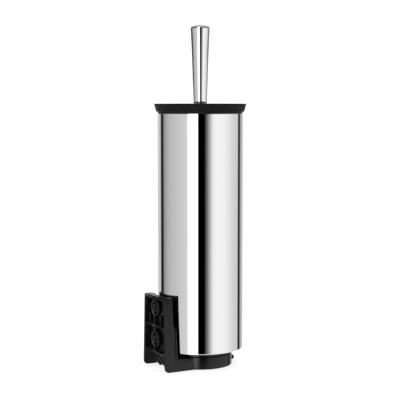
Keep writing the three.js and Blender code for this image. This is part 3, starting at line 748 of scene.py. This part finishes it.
insert_low, insert_high = in_mm("thread_insert")
KNURLS, KNURL_DEPTH = 36, 0.2
profile = rounded([
    (bush_bore, insert_low[2], 0.2), (insert_high[0], insert_low[2], 0.4),
    (insert_high[0], insert_high[2], 0.4), (bush_bore, insert_high[2], 0.2)])
profile = np.vstack([profile, profile[:1]])
angle = np.linspace(0, 2 * np.pi, KNURLS * 4, endpoint=False)
groove = KNURL_DEPTH * (0.5 - 0.5 * np.cos(KNURLS * angle)) * (profile[:, :1] > bush_bore + 1)
radius = profile[:, :1] - groove
insert = surface(np.stack([radius * np.cos(angle), radius * np.sin(angle),
                           profile[:, 1:] + 0 * radius], -1), around=True)
finish_mesh(insert, "brass_insert", turned_brass(), "brush", ["thread_insert"])

# ---- Brush head ----
# A round polypropylene core with a tapered neck, moulded round the insert. It unscrews to be replaced.

head_low, head_high = in_mm("brush_head")
head_radius = head_high[0]
NECK_LENGTH, NECK_RADIUS, HEAD_END = 12.0, 6.2, 6.0
shoulder = head_high[2] - NECK_LENGTH
seat_radius = insert_high[0] + CLEARANCE
head = turned(rounded([
    (0, head_low[2]), (head_radius, head_low[2], HEAD_END), (head_radius, shoulder, 3.0),
    (NECK_RADIUS, head_high[2], 0.8), (bush_bore, head_high[2], 0.3),
    (bush_bore, insert_high[2] + CLEARANCE, 0.2), (seat_radius, insert_high[2] + CLEARANCE, 0.2),
    (seat_radius, insert_low[2] - CLEARANCE, 0.2), (bush_bore, insert_low[2] - CLEARANCE, 0.2),
    (bush_bore, shaft_low[2] - CLEARANCE, 0.5), (0, shaft_low[2] - CLEARANCE)],
    closed=False), SMALL_SIDES, closed=False)
finish_mesh(head, "brush_core", polypropylene("head_polypropylene", "#151516", 1.0 * MM),
            "brush", ["brush_head"])

# ---- Bristles ----
# Tufts of black nylon bristles stapled into the head, in staggered rows round it and over its end.


def bristle_nylon():
    """Black nylon filament: smooth and slightly glossy, greyer at some tips."""
    made = bpy.data.materials.new("black_nylon_filament")
    made.use_nodes = True
    tree = made.node_tree
    skin = tree.nodes["Principled BSDF"]
    skin.inputs["IOR"].default_value = 1.53
    place = add_node(tree, "ShaderNodeTexCoord")
    lot = add_node(tree, "ShaderNodeTexNoise", [("Vector", place, "Object")],
                   [("Scale", 1 / (2 * MM)), ("Detail", 1.0)])
    tint = add_node(tree, "ShaderNodeValToRGB", [("Fac", lot, "Fac")])
    tint.color_ramp.elements[0].color = linear("#0E0E0F")
    tint.color_ramp.elements[1].color = linear("#262628")
    gloss = add_node(tree, "ShaderNodeMapRange", [("Value", lot, "Fac")],
                     [("To Min", 0.28), ("To Max", 0.45)])
    tree.links.new(tint.outputs["Color"], skin.inputs["Base Color"])
    tree.links.new(gloss.outputs["Result"], skin.inputs["Roughness"])
    return made


bristle_low, bristle_high = in_mm("bristles")
tip_radius = bristle_high[0] - 0.4
BRISTLE_SHOULDER = 11.0
FILAMENTS, FILAMENT_RADIUS = 18, 0.2  # in a tuft; real ones are 0.15 mm, drawn thicker to show
TUFT_SPREAD = 2.9  # how far a tuft's tips stand apart, half across
rows_round, tufts_round = 12, 15
rng = np.random.default_rng(7)
roots, tips = [], []
levels = np.linspace(head_low[2] + HEAD_END + 1, bristle_high[2] - 5, rows_round)
for row, level in enumerate(levels):
    share_up = (level - levels[0]) / (levels[-1] - levels[0])
    end = bristle_low[2] + 12 + share_up * (bristle_high[2] - bristle_low[2] - 17)
    slope = np.clip(min(end - bristle_low[2], bristle_high[2] - end) / BRISTLE_SHOULDER, 0, 1)
    reach = tip_radius - BRISTLE_SHOULDER * (1 - slope)
    around = 2 * np.pi * (np.arange(tufts_round) + 0.5 * (row % 2)) / tufts_round
    flat = np.stack([np.cos(around), np.sin(around)], -1)
    roots.append(np.c_[flat * (head_radius - 0.8), np.full(tufts_round, level)])
    tips.append(np.c_[flat * reach, np.full(tufts_round, end)])
# The rings of tufts over the head's end: how many, how far out they root and tip, how high they tip.
END_RINGS = [(12, 7.6, 32.5, 7.0), (8, 4.6, 19.0, 1.5), (4, 1.8, 7.0, 1.0)]
for count, root_radius, tip_out, drop in END_RINGS:
    around = 2 * np.pi * (np.arange(count) + 0.25) / count
    flat = np.stack([np.cos(around), np.sin(around)], -1)
    sink = head_low[2] + 0.8 + max(root_radius - 3.5, 0) * 0.6
    roots.append(np.c_[flat * root_radius, np.full(count, sink)])
    tips.append(np.c_[flat * tip_out, np.full(count, bristle_low[2] + drop)])
roots, tips = np.concatenate(roots), np.concatenate(tips)


def filaments(roots, tips):
    """Thin three-sided tubes from each tuft's root to its spread-out tips, four rings each.

    A filament's line is root + (tip - root) t + bend t (1 - t), with a random tip and bend."""
    count = len(roots) * FILAMENTS
    root, tip = (np.repeat(p, FILAMENTS, axis=0) for p in (roots, tips))
    way = tip - root
    way /= np.linalg.norm(way, axis=1, keepdims=True)
    side = np.cross(way, (0.31, 0.17, 0.94))
    side /= np.linalg.norm(side, axis=1, keepdims=True)
    other = np.cross(way, side)
    k = np.tile(np.arange(FILAMENTS), len(roots))
    spiral = 2.39996 * k + rng.uniform(-0.3, 0.3, count)
    out = np.sqrt((k + 0.5) / FILAMENTS)[:, None]
    fan = out * (np.cos(spiral)[:, None] * side + np.sin(spiral)[:, None] * other)
    root = root + 0.75 * fan
    tip = tip + TUFT_SPREAD * fan + rng.normal(0, 0.35, (count, 3))
    flat = np.linalg.norm(tip[:, :2], axis=1, keepdims=True)
    tip[:, :2] *= np.minimum(1, tip_radius / flat)
    tip[:, 2] = np.clip(tip[:, 2], bristle_low[2] + 0.3, bristle_high[2] - 0.3)
    bend = rng.normal(0, 0.9, (count, 3)) + (0, 0, -0.8)
    t = np.array([0, 0.35, 0.7, 1])[None, :, None]
    line = root[:, None] + (tip - root)[:, None] * t + bend[:, None] * t * (1 - t)
    corner = 2 * np.pi * np.arange(3) / 3
    ring = np.cos(corner)[:, None] * side[:, None] + np.sin(corner)[:, None] * other[:, None]
    thick = FILAMENT_RADIUS * np.array([1, 1, 0.9, 0.55])[None, :, None, None]
    points = line[:, :, None] + ring[:, None] * thick
    base_index = 12 * np.arange(count)[:, None]
    sides = np.array([(3 * r + c, 3 * r + (c + 1) % 3, 3 * r + 3 + (c + 1) % 3, 3 * r + 3 + c)
                      for r in range(3) for c in range(3)])
    quads = (base_index[:, :, None] + sides[None]).reshape(-1, 4)
    ends = (base_index[:, :, None] + np.array([(2, 1, 0), (9, 10, 11)])[None]).reshape(-1, 3)
    mesh = bpy.data.meshes.new("bristles")
    mesh.from_pydata((points.reshape(-1, 3) * MM).tolist(), [], quads.tolist() + ends.tolist())
    made = bpy.data.objects.new("bristles", mesh)
    scene.collection.objects.link(made)
    return made


tufts = filaments(roots, tips)
finish_mesh(tufts, "bristle_tufts", bristle_nylon(), "brush", ["bristles"], 60)
